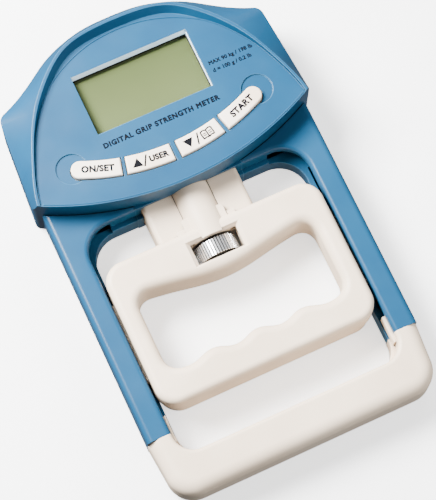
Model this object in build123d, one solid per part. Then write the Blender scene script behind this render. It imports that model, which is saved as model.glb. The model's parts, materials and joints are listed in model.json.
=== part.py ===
"""Digital hand dynamometer: display head, U-frame, sliding handle and adjusting wheel.

Millimetres. +X is the reader's right, +Y runs from the base grip to the top of the head,
+Z comes out of the display. The back lies on z = 0 and the origin is the middle of the
back's bounding rectangle.
"""
import os
from math import cos, pi, radians, sin, sqrt

from build123d import *

# ---------------------------------------------------------------- driving dimensions
LENGTH = 189.0
TOP_Y = LENGTH / 2
BOTTOM_Y = -LENGTH / 2

FRAME_DEPTH = 19.0
SPLIT_Z = 11.0
WALL = 2.2
GAP = 0.3

RAIL_OUTER = 57.0
FRONT_INNER = 47.2
REAR_INNER = 45.4
RAIL_END_Y = -68.9
FRONT_LEDGE_Y = 17.5
REAR_LEDGE_Y = 15.4
LEDGE_CORNER_R = 12.0
SLOT_Z = (9.0, 15.0)
SLOT_OUTER = 52.5
SLOT_START_X = 34.0

HEAD_HALF = 59.8
HEAD_EDGE_Z = 23.0
CREST_Z = 29.9
CREST_SLOPE = 1.27
PANEL_SLOPE = -1.9
PANEL_LOW_Y = 17.0
PANEL_ARC_R = 123.5
PANEL_THICK = 2.4
SEAM_WIDTH, SEAM_DEPTH = 0.5, 0.9

WINDOW_HALF = 24.7
WINDOW_Y = (48.5, 75.0)
WINDOW_PANE_Z = (24.1, 25.2)

KEY_CENTRE_Y = 118.2
KEY_R = (84.85, 92.05)
KEY_TOP_Z = 30.7
KEY_TRAVEL = 0.7
KEY_GAP = 0.45
KEY_SPANS = {
    "button_on": (-24.7, -14.3, "start"),
    "button_up": (-13.0, -0.9, None),
    "button_down": (0.9, 13.0, None),
    "button_start": (14.3, 24.7, "end"),
}
DISH_X, DISH_Y, DISH_R, DISH_DEPTH = 39.7, 39.8, 6.3, 0.55

BASE_TOP_Y = -68.9
BASE_INNER_Y = -78.5
BASE_CORNER_R = 11.0
BASE_SPLIT_Z = 9.0
TONGUE_TOP_Y = -61.0

HANDLE_HALF = 46.1
HANDLE_REAR_HALF = 44.9
HANDLE_Y = (-60.1, 0.8)
HANDLE_Z = (1.5, 20.5)
HANDLE_CORNER_R = 8.6
HANDLE_TRAVEL = 6.0
GRIP_HALF = 38.0
GRIP_ARCH_Y = -18.6
GRIP_SHOULDER_Y = -14.1
GROOVE_PITCH = 19.0
GROOVE_CREST_Y = -45.1
GROOVE_DEPTH = 2.3

AXIS_Z = 11.0
WHEEL_R = 8.65
WHEEL_Y = (-12.8, -5.1)
KNURLS = 46
KNURL_DEPTH = 0.55
KNURL_LAND = 0.58
ROD_R = 3.0
ROD_TOP_Y = 23.0
JOURNAL_R = 2.0
JOURNAL_END_Y = -15.6
RUN_FIT = 0.05

CHAMBER_HALF = 9.8
CHAMBER_Y = (-13.4, -4.5)

BOSS_R = 8.0
BOSS_BORE_R = 6.0
BOSS_Z = 13.8
BOSS_TOP_Y = 25.0

BLOCK_HALF = 20.4
BLOCK_Z = (2.0, 17.0)
BLOCK_TOP_Y = 31.0
LEG_END_Y = -7.0
LEG_INNER = 11.8
LEG_BACK_Z = 4.0
SKIN_Z = 15.0
SKIN_END_Y = -2.0
WEB_Y = (7.3, 15.0)
NUT_Y = (8.0, 13.0)
NUT_HALF = 5.0
FLARE_Z = (BLOCK_Z[1] + GAP, 18.9)
LIP_Z = (BLOCK_Z[1] + GAP, 18.3)
COLLAR_HALF = 23.0
COLLAR_TOP_Y = 21.0

BEAM_HALF = 42.0
BEAM_Y = (31.0, 43.0)
BEAM_Z = (2.8, 12.8)
TIE_X = 15.0

CELL_R = 5.2
CELL_HALF = 22.2
CELL_Z = 7.6
CELL_YS = (62.5, 73.3)
DOOR_HALF = 26.0
DOOR_Y = (55.6, 80.2)
DOOR_Z = (0.2, 1.8)

BOARD_Z = (19.6, 21.2)
KEY_BOARD_Z = (22.4, 23.6)
DOME_Z = 24.2


# ---------------------------------------------------------------- helpers
def block(x, y, z):
    """Box between three (low, high) pairs."""
    size = Box(x[1] - x[0], y[1] - y[0], z[1] - z[0])
    return Pos((x[0] + x[1]) / 2, (y[0] + y[1]) / 2, (z[0] + z[1]) / 2) * size


def post(x, y, z, radius):
    """Cylinder along Z."""
    return Pos(x, y, (z[0] + z[1]) / 2) * Cylinder(radius, z[1] - z[0])


def shaft(x, y, z, radius):
    """Cylinder along Y between the two ends in y."""
    return Pos(x, (y[0] + y[1]) / 2, z) * Rot(90, 0, 0) * Cylinder(radius, y[1] - y[0])


def slab(face, z):
    """Prism on a flat outline between the two heights in z."""
    return Pos(0, 0, z[0]) * extrude(face, z[1] - z[0], dir=(0, 0, 1))


def both_sides(shape):
    """The shape and its mirror image across the middle plane."""
    return shape + mirror(shape, about=Plane.YZ)


def symmetric_face(right, closing):
    """Face from its right-hand edges, their mirror images and the closing edges."""
    left = [mirror(edge, about=Plane.YZ) for edge in right]
    return make_face([*right, *left, *closing])


def tilted_space(z, slope, above):
    """Everything above or below a plane through (y = PANEL_LOW_Y, z) that tilts about X."""
    size = 300.0
    offset = size / 2 if above else -size / 2
    return Pos(0, PANEL_LOW_Y, z) * Rot(slope, 0, 0) * Pos(0, 0, offset) * Box(size, size, size)


def panel_z(y):
    """Height of the display panel's face at y."""
    return CREST_Z + (y - PANEL_LOW_Y) * sin(radians(PANEL_SLOPE))


# ---------------------------------------------------------------- outlines of the head
def panel_arc_y(x):
    """Lower edge of the raised display panel at x."""
    return PANEL_LOW_Y + PANEL_ARC_R - sqrt(PANEL_ARC_R**2 - x**2)


def panel_arc(half, lift=0.0):
    """The panel's lower edge as an arc from -half to half."""
    end_y = panel_arc_y(half) + lift
    return ThreePointArc((-half, end_y), (0, PANEL_LOW_Y + lift), (half, end_y))


SHOULDER_TOP = (53.6, 74.1)
SHOULDER_SIDE = (57.0, 70.0)
HEAD_LOW = (HEAD_HALF, panel_arc_y(HEAD_HALF))
HEAD_CORNER = ((57.9, 31.34), (59.3, 32.6), (59.85, 34.6))


def head_right():
    """Right-hand edge of the head, from the panel's corner over the shoulder to the top."""
    side = ThreePointArc(HEAD_LOW, (58.5, 50.0), SHOULDER_SIDE)
    corner = ThreePointArc(SHOULDER_SIDE, (56.1, 72.5), SHOULDER_TOP)
    crown = Spline(
        SHOULDER_TOP, (40, 81.5), (30, 88.0), (18, 92.6), (0, TOP_Y),
        tangents=((-0.93, 0.37), (-1, 0)),
    )
    return [side, corner, crown]


def rim_right(inset, lift=0.0):
    """Right-hand half of the rim's crest, moved inwards by inset, its foot raised by lift."""
    foot = 57.8 - inset
    curve = Edge.make_spline(
        [
            Vector(foot, panel_arc_y(foot) + lift),
            Vector(52.6 - inset, 48.4),
            Vector(44.3 - 0.8 * inset, 66.0 - 0.6 * inset),
            Vector(29.5 - 0.5 * inset, 82.7 - 0.9 * inset),
            Vector(0, 90.3 - inset),
        ],
        tangents=[Vector(-0.15, 1), Vector(-1, 0)],
    )
    return curve


def head_face():
    """Head outline above the U-frame, closed by the panel's lower edge."""
    return symmetric_face(head_right(), [panel_arc(HEAD_HALF)])


def rim_face():
    """Outline of the rim's crest, closed by the panel's lower edge."""
    curve = rim_right(0.0)
    edges = [curve.trim(0, 0.42), curve.trim(0.42, 0.5), curve.trim(0.5, 1)]
    return symmetric_face(edges, [panel_arc(57.8)])


def head_room_face():
    """Plan of the hollow inside the head's side walls."""
    low = (HEAD_HALF - 2.6, panel_arc_y(HEAD_HALF - 2.6) + WALL)
    shoulder = (54.2, 70.0)
    side = ThreePointArc(low, (56.0, 50.0), shoulder)
    crown = Spline(shoulder, (40, 78.5), (30, 85.0), (18, 89.8), (0, TOP_Y - 2.7),
                   tangents=((-0.8, 0.4), (-1, 0)))
    return symmetric_face([side, crown], [panel_arc(HEAD_HALF - 2.6, WALL)])


def crown_room_face():
    """Plan of the hollow under the display panel."""
    inset = 4.2
    return symmetric_face([rim_right(inset, WALL)], [panel_arc(57.8 - inset, WALL)])


def pocket_face(curve):
    """Outline of the panel recess, run out past the panel's lower edge."""
    foot = curve @ 0
    low_y = PANEL_LOW_Y - 6
    right = [curve, Line((foot.X, foot.Y), (foot.X, low_y))]
    return symmetric_face(right, [Line((-foot.X, low_y), (foot.X, low_y))])


def panel_right():
    """Right-hand half of the display panel's edge, at the foot of the rim's wall."""
    return Edge.make_spline(
        [
            Vector(56.6, 30.8),
            Vector(51.6, 48.4),
            Vector(43.4, 63.8),
            Vector(29.0, 78.6),
            Vector(0, 86.8),
        ],
        tangents=[Vector(-0.15, 1), Vector(-1, 0)],
    )


def lower_face(inner, ledge_y, end_y):
    """Plan of the head's lower part and the two rails, around the handle's opening."""
    right = [
        *head_right(),
        Line(HEAD_LOW, (RAIL_OUTER, panel_arc_y(RAIL_OUTER))),
        Line((RAIL_OUTER, panel_arc_y(RAIL_OUTER)), (RAIL_OUTER, end_y)),
        Line((RAIL_OUTER, end_y), (inner, end_y)),
        Line((inner, end_y), (inner, ledge_y - LEDGE_CORNER_R)),
        RadiusArc(
            (inner, ledge_y - LEDGE_CORNER_R), (inner - LEDGE_CORNER_R, ledge_y), -LEDGE_CORNER_R
        ),
    ]
    across = inner - LEDGE_CORNER_R
    return symmetric_face(right, [Line((-across, ledge_y), (across, ledge_y))])


def guide_slot():
    """Groove round the opening that the handle's ribs and the base's tongues run in."""
    reach = SLOT_OUTER - FRONT_INNER
    upper = FRONT_LEDGE_Y + reach - 0.5
    outer = Pos(0, (upper + RAIL_END_Y - 20) / 2) * RectangleRounded(
        2 * SLOT_OUTER, upper - RAIL_END_Y + 20, LEDGE_CORNER_R + reach
    )
    middle = Pos(0, 60) * Rectangle(2 * SLOT_START_X, 120 + 2 * abs(RAIL_END_Y))
    ring = outer - middle
    return slab(ring, SLOT_Z) & block((-60, 60), (RAIL_END_Y - 1, upper), (0, 30))


# ---------------------------------------------------------------- fasteners
HEAD_SCREWS = [(-49.5, 61.0), (49.5, 61.0), (-52.0, 33.5), (52.0, 33.5), (0.0, 86.0)]
HANDLE_SCREWS = [(-30.0, -7.0), (30.0, -7.0), (-35.0, -54.0), (35.0, -54.0)]
BASE_SCREWS = [(-49.5, -80.0), (49.5, -80.0), (-18.0, -86.5), (18.0, -86.5)]
SCREW_R = 1.4
SCREW_HEAD_R = 2.7
SCREW_HEAD_H = 1.9


def pan_screw(x, y, head_z, tip_z):
    """Cross-recess screw entered from the back; head_z is where its head bears."""
    head = post(x, y, (head_z - SCREW_HEAD_H, head_z), SCREW_HEAD_R)
    head = fillet(head.edges().filter_by(GeomType.CIRCLE).sort_by(Axis.Z)[0], 0.9)
    screw = head + post(x, y, (head_z, tip_z), SCREW_R)
    low = head_z - SCREW_HEAD_H
    slot = Box(2.6, 0.6, 2.2) + Box(0.6, 2.6, 2.2)
    return screw - Pos(x, y, low) * slot


def screw_set(places, head_z, tip_z):
    """Identical screws, one solid each."""
    return Compound(children=[pan_screw(x, y, head_z, tip_z) for x, y in places])


def screw_room(x, y, head_z, tip_z, back_z):
    """Clearance for one screw: counterbore from the back and a pilot hole."""
    bore = post(x, y, (back_z - 1, head_z), SCREW_HEAD_R + 0.3)
    return bore + post(x, y, (head_z - 0.1, tip_z + 0.5), SCREW_R + 0.02)


# ---------------------------------------------------------------- housings of the head
def boss_passage(y):
    """Arched clearance for the handle's half-round rod cover."""
    return shaft(0, y, BOSS_Z, BOSS_R + 0.4)


def collar_room():
    """Space that the guide collar fills in the two housings."""
    half = COLLAR_HALF + 0.02
    return block((-half, half), (REAR_LEDGE_Y - 1, COLLAR_TOP_Y + 0.02), (-1, FRAME_DEPTH))


def inner_front_edges(lower):
    """Front edges of the rails and the ledge around the handle's opening."""
    front = lower.edges().group_by(Axis.Z)[-1]
    return front.filter_by(lambda edge: abs((edge @ 0.5).X) < FRONT_INNER + 0.1 and (edge @ 0.5).Y < 20)


def head_screw_posts():
    """Bosses inside the front housing that the head screws bite into."""
    return [post(x, y, (SPLIT_Z, 26.0), 3.4) for x, y in HEAD_SCREWS]


def front_housing():
    """Front shell: display panel with its rim, and the front half of the rails."""
    head = slab(head_face(), (FRAME_DEPTH - 1, HEAD_EDGE_Z))
    crest_plane = Plane(origin=(0, PANEL_LOW_Y, CREST_Z)).rotated((CREST_SLOPE, 0, 0))
    crest = crest_plane.location * (Pos(0, -PANEL_LOW_Y) * rim_face())
    crown = loft([Pos(0, 0, HEAD_EDGE_Z) * head_face(), crest])
    lower = slab(lower_face(FRONT_INNER, FRONT_LEDGE_Y, RAIL_END_Y), (SPLIT_Z, FRAME_DEPTH))
    lower = fillet(inner_front_edges(lower), 1.8)
    housing = lower + head + crown
    outside = housing

    recess = loft([
        Pos(0, 0, 27.0) * pocket_face(panel_right()),
        Pos(0, 0, 31.8) * pocket_face(rim_right(0.9)),
    ])
    housing -= recess & tilted_space(CREST_Z, PANEL_SLOPE, above=True)
    for side in (-1, 1):
        dish = Pos(0, 0, 2 - DISH_DEPTH) * Cylinder(DISH_R, 4)
        housing -= Pos(side * DISH_X, DISH_Y, panel_z(DISH_Y)) * Rot(PANEL_SLOPE, 0, 0) * dish
    housing -= rail_edge_round(FRAME_DEPTH, 1)
    housing -= slab(seam_face(), (FRAME_DEPTH - SEAM_DEPTH, FRAME_DEPTH + 0.1))
    housing -= head_corner_waste()

    room = slab(head_room_face(), (SPLIT_Z - 1, HEAD_EDGE_Z - 2.5))
    under_panel = tilted_space(CREST_Z - PANEL_THICK, PANEL_SLOPE, above=False)
    room += slab(crown_room_face(), (SPLIT_Z - 1, 32)) & under_panel
    room += block((-44, 44), (FRONT_LEDGE_Y + WALL, 34), (SPLIT_Z - 1, FRAME_DEPTH - WALL))
    housing -= room
    housing -= guide_slot()

    sill = WINDOW_PANE_Z[1] + 0.05
    low, high = WINDOW_Y
    surround = block((-WINDOW_HALF - 1.5, WINDOW_HALF + 1.5), (low - 1.5, high + 1.5), (sill, 29))
    housing += surround & (outside - recess_space())
    housing -= block((-WINDOW_HALF, WINDOW_HALF), (low, high), (20, 33))
    for boss in head_screw_posts():
        housing += boss
    for x, y in HEAD_SCREWS:
        housing -= screw_room(x, y, 4.2, 18.0, 0)
    for key_hole in key_openings():
        housing -= key_hole
    housing -= collar_room()
    housing -= boss_passage((REAR_LEDGE_Y - 1, 40))
    return housing


def recess_space():
    """Everything above the display panel's face."""
    return tilted_space(CREST_Z - 0.3, PANEL_SLOPE, above=True)


def rail_edge_round(face_z, outward):
    """Waste outside the rounded outer edges of the rails at one face, up to the head."""
    radius = 2.4
    low, high = RAIL_END_Y - 20, HEAD_LOW[1]
    edge = RAIL_OUTER
    corner = block((edge - radius, edge + 1), (low, high), (-radius, 1))
    corner -= shaft(edge - radius, (low - 1, high + 1), -radius, radius)
    if outward < 0:
        corner = mirror(corner, about=Plane.XY)
    return Pos(0, 0, face_z) * both_sides(corner) - slab(head_face(), (-5, FRAME_DEPTH + 5))


def seam_face():
    """Plan of the fine groove at the foot of the head's lower face."""
    half = HEAD_HALF
    arcs = [panel_arc(half), panel_arc(half, -SEAM_WIDTH)]
    low, high = panel_arc_y(half) - SEAM_WIDTH, panel_arc_y(half)
    return make_face([*arcs, Line((half, low), (half, high)), Line((-half, low), (-half, high))])


def head_corner_waste():
    """Waste outside the head's two rounded lower corners."""
    low, middle, high = HEAD_CORNER
    outside = HEAD_HALF + 2
    waste = make_face([
        ThreePointArc(low, middle, high),
        Line(high, (outside, high[1])),
        Line((outside, high[1]), (outside, low[1] - 2)),
        Line((outside, low[1] - 2), (low[0], low[1] - 2)),
        Line((low[0], low[1] - 2), low),
    ])
    return both_sides(slab(waste, (-1, CREST_Z + 3)))


def rear_housing():
    """Rear shell: battery compartment, load-cell seats and the back half of the rails."""
    shell = slab(lower_face(REAR_INNER, REAR_LEDGE_Y, RAIL_END_Y), (0, SPLIT_Z))
    outer_edges = shell.edges().group_by(Axis.Z)[0]
    shell = fillet(outer_edges.filter_by(
        lambda edge: abs((edge @ 0.5).X) < REAR_INNER + 0.1 and (edge @ 0.5).Y < 20), 1.5)
    shell -= rail_edge_round(0, -1)
    shell -= head_corner_waste()
    room = slab(head_room_face(), (WALL, SPLIT_Z + 1))
    room += block((-44, 44), (REAR_LEDGE_Y + WALL, 36), (WALL, SPLIT_Z + 1))
    shell -= room
    for side in (-1, 1):
        x = (side * 47.6, side * 54.8)
        shell -= block((min(x), max(x)), (RAIL_END_Y + 12, 8), (WALL, SPLIT_Z + 1))
    shell -= guide_slot()
    block_room = BLOCK_HALF + GAP
    shell -= block((-block_room, block_room), (REAR_LEDGE_Y, BLOCK_TOP_Y + 1), (BLOCK_Z[0] - GAP, SPLIT_Z))

    seats = [block((side * 36 - 5, side * 36 + 5), BEAM_Y, (WALL - 0.2, BEAM_Z[0])) for side in (-1, 1)]
    for seat in seats:
        shell += seat
    low, high = DOOR_Y
    shell += block((-28, 28), (low - 1.6, high + 1.6), (0.5, 13.4))
    shell -= block((-25.3, 25.3), (low + 0.9, high - 0.9), (-1, 14))
    shell -= block((-DOOR_HALF - GAP, DOOR_HALF + GAP), (low - GAP, high + GAP), (-1, DOOR_Z[1] + 0.1))
    for x, y in HEAD_SCREWS:
        shell += post(x, y, (0.5, SPLIT_Z), 4.4)
        shell -= screw_room(x, y, 4.2, 18.0, 0)
    for side in (-1, 1):
        shell -= screw_room(side * 36, sum(BEAM_Y) / 2, 1.9, 10.0, 0)
    shell -= collar_room()
    shell -= boss_passage((REAR_LEDGE_Y - 1, 40))
    return shell


def guide_collar():
    """Insert round the slide block where it enters the head."""
    half = COLLAR_HALF
    collar = block((-half, half), (REAR_LEDGE_Y, COLLAR_TOP_Y), (0, SPLIT_Z + GAP))
    collar += block((-half, half), (FRONT_LEDGE_Y, COLLAR_TOP_Y), (SPLIT_Z, FRAME_DEPTH))
    z = (BLOCK_Z[0] - GAP, BLOCK_Z[1] + GAP)
    depth = z[1] - z[0]
    opening = RectangleRounded(2 * (BLOCK_HALF + GAP), depth, 2.2)
    plug = Pos(0, REAR_LEDGE_Y - 5, sum(z) / 2) * Rot(90, 0, 0) * extrude(opening, -40)
    collar -= plug
    collar -= boss_passage((REAR_LEDGE_Y - 1, COLLAR_TOP_Y + 1))
    return collar


# ---------------------------------------------------------------- keys
def key_point(radius, angle):
    """Point on the key strip; the angle is measured from straight down."""
    turn = radians(angle)
    return (radius * sin(turn), KEY_CENTRE_Y - radius * cos(turn))


def key_face(start, end, rounded, grow=0.0):
    """Plan of one key, grown all round: a stretch of the strip, round at its outermost end."""
    inner, outer = KEY_R[0] - grow, KEY_R[1] + grow
    middle = (inner + outer) / 2
    per_mm = 180 / pi / middle
    bulge = (outer - inner) / 2 * per_mm
    start -= 0 if rounded == "start" else grow * per_mm
    end += 0 if rounded == "end" else grow * per_mm
    centre = (start + end) / 2
    edges = [
        ThreePointArc(key_point(outer, start), key_point(outer, centre), key_point(outer, end)),
        ThreePointArc(key_point(inner, start), key_point(inner, centre), key_point(inner, end)),
    ]
    for name, angle, out in (("start", start, -bulge), ("end", end, bulge)):
        low, high = key_point(outer, angle), key_point(inner, angle)
        if name == rounded:
            edges.append(ThreePointArc(low, key_point(middle, angle + out), high))
        else:
            edges.append(Line(low, high))
    return make_face(edges)


def key_openings():
    """Holes in the display panel for the four keys."""
    return [slab(key_face(*span, grow=KEY_GAP), (20, 33)) for span in KEY_SPANS.values()]


def key(span):
    """Key cap with a retaining flange under the panel and a stem over its dome."""
    face = key_face(*span)
    cap = slab(face, (26.0, KEY_TOP_Z))
    cap = fillet(cap.edges().group_by(Axis.Z)[-1], 0.7)
    centre = face.center()
    stem = post(centre.X, centre.Y, (DOME_Z + KEY_TRAVEL + 0.1, 26.0), 1.6)
    flange = slab(key_face(*span, grow=0.8), (25.6, 26.4))
    return cap + flange + stem


# ---------------------------------------------------------------- display and electronics
def display_window():
    """Clear pane glued under the window's surround."""
    low, high = WINDOW_Y
    return block((-WINDOW_HALF - 1.5, WINDOW_HALF + 1.5), (low - 1.5, high + 1.5), WINDOW_PANE_Z)


def lcd_panel():
    """Display glass: rear plate, and a front plate without the contact ledge."""
    low, high = WINDOW_Y
    rear = block((-26.0, 26.0), (low - 2.4, high + 1.2), (21.9, 23.0))
    return rear + block((-26.0, 26.0), (low - 0.4, high + 1.2), (23.0, 24.0))


def rubber_connector():
    """Striped rubber strip that joins the display glass to the board."""
    low = WINDOW_Y[0] - 2.2
    return block((-24.0, 24.0), (low, low + 1.8), (BOARD_Z[1], 21.9))


def lcd_carrier():
    """Plastic frame that holds the display glass on the board."""
    low, high = WINDOW_Y
    frame = block((-28.0, 28.0), (low - 4.2, high + 2.0), (BOARD_Z[1], 23.8))
    frame -= block((-26.1, 26.1), (low - 2.5, high + 1.3), (20, 25))
    return frame


def main_board():
    """Circuit board behind the display, clear of the head's screw bosses."""
    board = block((-34.0, 34.0), (43.0, 76.0), BOARD_Z)
    corners = board.edges().filter_by(Axis.Z).group_by(Axis.Y)
    return fillet(chamfer(corners[-1], 9.0).edges().filter_by(Axis.Z), 1.0)


def key_board():
    """Small curved board that carries the key domes."""
    middle = (KEY_R[0] + KEY_R[1]) / 2
    inner, outer = middle - 4.6, middle + 3.8
    edges = [
        ThreePointArc(key_point(radius, -25.5), key_point(radius, 0), key_point(radius, 25.5))
        for radius in (inner, outer)
    ]
    edges += [Line(key_point(inner, angle), key_point(outer, angle)) for angle in (-25.5, 25.5)]
    return slab(make_face(edges), KEY_BOARD_Z)


def key_domes():
    """Four snap domes, one under each key."""
    domes = []
    for span in KEY_SPANS.values():
        centre = key_face(*span).center()
        dome = post(centre.X, centre.Y, (KEY_BOARD_Z[1], DOME_Z), 2.6)
        domes.append(fillet(dome.edges().filter_by(GeomType.CIRCLE).sort_by(Axis.Z)[-1], 0.4))
    return Compound(children=domes)


def board_link():
    """Flat ribbon that steps up from the main board to the key board."""
    x = (29.0, 33.0)
    ribbon = block(x, (38.0, 45.6), (21.5, 21.7)) + block(x, (38.0, 38.2), (21.5, 22.4))
    return ribbon + block(x, (45.4, 45.6), (21.2, 21.7))


def controller_chip():
    """Controller under its blob of black resin, on the back of the board."""
    blob = post(0, 56.0, (18.0, BOARD_Z[0]), 7.0)
    return fillet(blob.edges().filter_by(GeomType.CIRCLE).sort_by(Axis.Z)[0], 1.2)


def buzzer():
    """Sounder disc on the back of the board."""
    can = post(30.0, 52.0, (16.4, BOARD_Z[0]), 5.0)
    return can - post(30.0, 52.0, (16.0, 17.2), 0.9)


# ---------------------------------------------------------------- load cell
def load_cell():
    """Aluminium bending beam, thinned by two slots where the strain gauges sit."""
    beam = block((-BEAM_HALF, BEAM_HALF), BEAM_Y, BEAM_Z)
    beam = chamfer(beam.edges().filter_by(Axis.X), 0.4)
    middle_y = sum(BEAM_Y) / 2
    for side in (-1, 1):
        beam -= Pos(side * 25.5, middle_y, 7.8) * extrude(SlotOverall(9.0, 6.0), 8, both=True)
        beam -= post(side * 36, middle_y, (0, 10.5), SCREW_R + 0.02)
        beam -= shaft(side * TIE_X, (BEAM_Y[0] - 1, BEAM_Y[1] + 1), 7.8, 2.05)
    return beam


def strain_gauges():
    """Foil gauges bonded to the thinned walls of the beam."""
    foils = []
    for side in (-1, 1):
        x = (side * 25.5 - 3, side * 25.5 + 3)
        foils.append(block(x, (BEAM_Y[1], BEAM_Y[1] + 0.2), (5.3, 10.3)))
        foils.append(block(x, (BEAM_Y[0] - 0.2, BEAM_Y[0]), (5.3, 10.3)))
    return Compound(children=foils)


def tie_bolts():
    """Cap screws that fasten the slide block to the middle of the beam."""
    bolts = []
    for side in (-1, 1):
        head = shaft(side * TIE_X, (BEAM_Y[1], BEAM_Y[1] + 4), 7.8, 3.5)
        head -= shaft(side * TIE_X, (BEAM_Y[1] + 2, BEAM_Y[1] + 5), 7.8, 1.5)
        bolts.append(head + shaft(side * TIE_X, (BEAM_Y[0] - 9, BEAM_Y[1]), 7.8, 2.0))
    return Compound(children=bolts)


def load_cell_lead():
    """Four-core lead from the gauges up to the board."""
    path = Polyline((22, 43.2, 8), (22, 46.6, 8), (22, 46.6, BOARD_Z[0]))
    return sweep(Plane(path @ 0, z_dir=path % 0) * Circle(0.8), path=path, transition=Transition.RIGHT)


# ---------------------------------------------------------------- battery parts
def battery_cell(y, sense):
    """Small round cell; sense is the direction of its positive end along X."""
    body = Rot(0, 90, 0) * Cylinder(CELL_R, 2 * CELL_HALF - 0.8)
    body = fillet(body.edges().filter_by(GeomType.CIRCLE), 0.5)
    tip = Pos(sense * (CELL_HALF - 0.2), 0, 0) * Rot(0, 90, 0) * Cylinder(1.9, 1.0)
    return Pos(0, y, CELL_Z) * (body + tip)


def battery_contacts():
    """Sprung end plates on both sides of the battery compartment."""
    contacts = []
    for side in (-1, 1):
        x = (min(side * 24.5, side * 25.2), max(side * 24.5, side * 25.2))
        plate = block(x, (CELL_YS[0] - 4.4, CELL_YS[1] + 4.4), (3.4, 12.0))
        for y, sense in zip(CELL_YS, (1, -1)):
            if sense != side:
                cone = Cone(3.6, 2.4, 2.5)
                tilt = Rot(0, -90 * side, 0)
                plate += Pos(side * 23.25, y, CELL_Z) * tilt * cone
            else:
                plate += Pos(side * 23.75, y, CELL_Z) * Rot(0, 90, 0) * Cylinder(1.6, 1.5)
        contacts.append(plate)
    return Compound(children=contacts)


def battery_door():
    """Cover over the cells on the back, with a finger ridge."""
    low, high = DOOR_Y
    door = block((-DOOR_HALF, DOOR_HALF), DOOR_Y, DOOR_Z)
    door = fillet(door.edges().filter_by(Axis.Z), 1.5)
    for step in range(4):
        y = low + 3 + 1.6 * step
        door -= Pos(0, y, DOOR_Z[0]) * Rot(0, 90, 0) * Cylinder(0.4, 12)
    return door


# ---------------------------------------------------------------- base grip
def base_face(inner):
    """Plan of the base grip: a shallow U that closes the two rails."""
    taper = 1.2
    corner = RAIL_OUTER - taper
    right = [
        Line((inner, BASE_TOP_Y), (RAIL_OUTER, BASE_TOP_Y)),
        Line((RAIL_OUTER, BASE_TOP_Y), (corner, BOTTOM_Y + BASE_CORNER_R)),
        RadiusArc(
            (corner, BOTTOM_Y + BASE_CORNER_R), (corner - BASE_CORNER_R, BOTTOM_Y), BASE_CORNER_R
        ),
        Line((corner - BASE_CORNER_R, BOTTOM_Y), (0, BOTTOM_Y)),
        Line((inner, BASE_TOP_Y), (inner, BASE_INNER_Y + 8.5)),
        RadiusArc((inner, BASE_INNER_Y + 8.5), (inner - 8.5, BASE_INNER_Y), 8.5),
        Line((inner - 8.5, BASE_INNER_Y), (0, BASE_INNER_Y)),
    ]
    return symmetric_face(right, [])


def base_half(inner, z, front):
    """One shell of the base grip with its outer edge rounded over."""
    half = slab(base_face(inner), z)
    level = half.edges().group_by(Axis.Z)[-1 if front else 0]
    outer = level.filter_by(lambda edge: (edge @ 0.5).Y < BASE_INNER_Y - 2 or abs((edge @ 0.5).X) > 52)
    outer = outer.filter_by(lambda edge: (edge @ 0.5).Y < BASE_TOP_Y - 0.1)
    return fillet(outer, 5.5 if front else 4.5)


def base_grip_front():
    """Front shell of the base grip, with the tongues that plug into the rails."""
    half = base_half(FRONT_INNER, (BASE_SPLIT_Z, FRAME_DEPTH), True)
    inner_edge = half.edges().group_by(Axis.Z)[-1]
    inner_edge = inner_edge.filter_by(
        lambda edge: abs((edge @ 0.5).X) < FRONT_INNER + 0.1 and (edge @ 0.5).Y > BASE_INNER_Y - 1)
    half = fillet(inner_edge, 1.8)
    half -= block((-40, 40), (BOTTOM_Y + 3.5, BASE_INNER_Y - 2.6), (BASE_SPLIT_Z - 1, FRAME_DEPTH - 3))
    tongue_z = (SLOT_Z[0] + 0.2, SLOT_Z[1] - 0.2)
    tongue = block((46.0, SLOT_OUTER - 0.2), (BASE_TOP_Y - 3, TONGUE_TOP_Y), tongue_z)
    tongue = fillet(tongue.edges().filter_by(Axis.Y), 0.6)
    half += both_sides(tongue)
    for x, y in BASE_SCREWS:
        half += post(x, y, (BASE_SPLIT_Z, 17.0), 3.0)
        half -= screw_room(x, y, 4.2, 14.0, 0)
    return half


def base_grip_rear():
    """Rear shell of the base grip."""
    half = base_half(REAR_INNER, (0, BASE_SPLIT_Z), False)
    half -= block((-40, 40), (BOTTOM_Y + 3.5, BASE_INNER_Y - 2.6), (WALL, BASE_SPLIT_Z + 1))
    for x, y in BASE_SCREWS:
        half += post(x, y, (1.0, BASE_SPLIT_Z), 4.4)
        half -= screw_room(x, y, 4.2, 14.0, 0)
    return half


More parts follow.
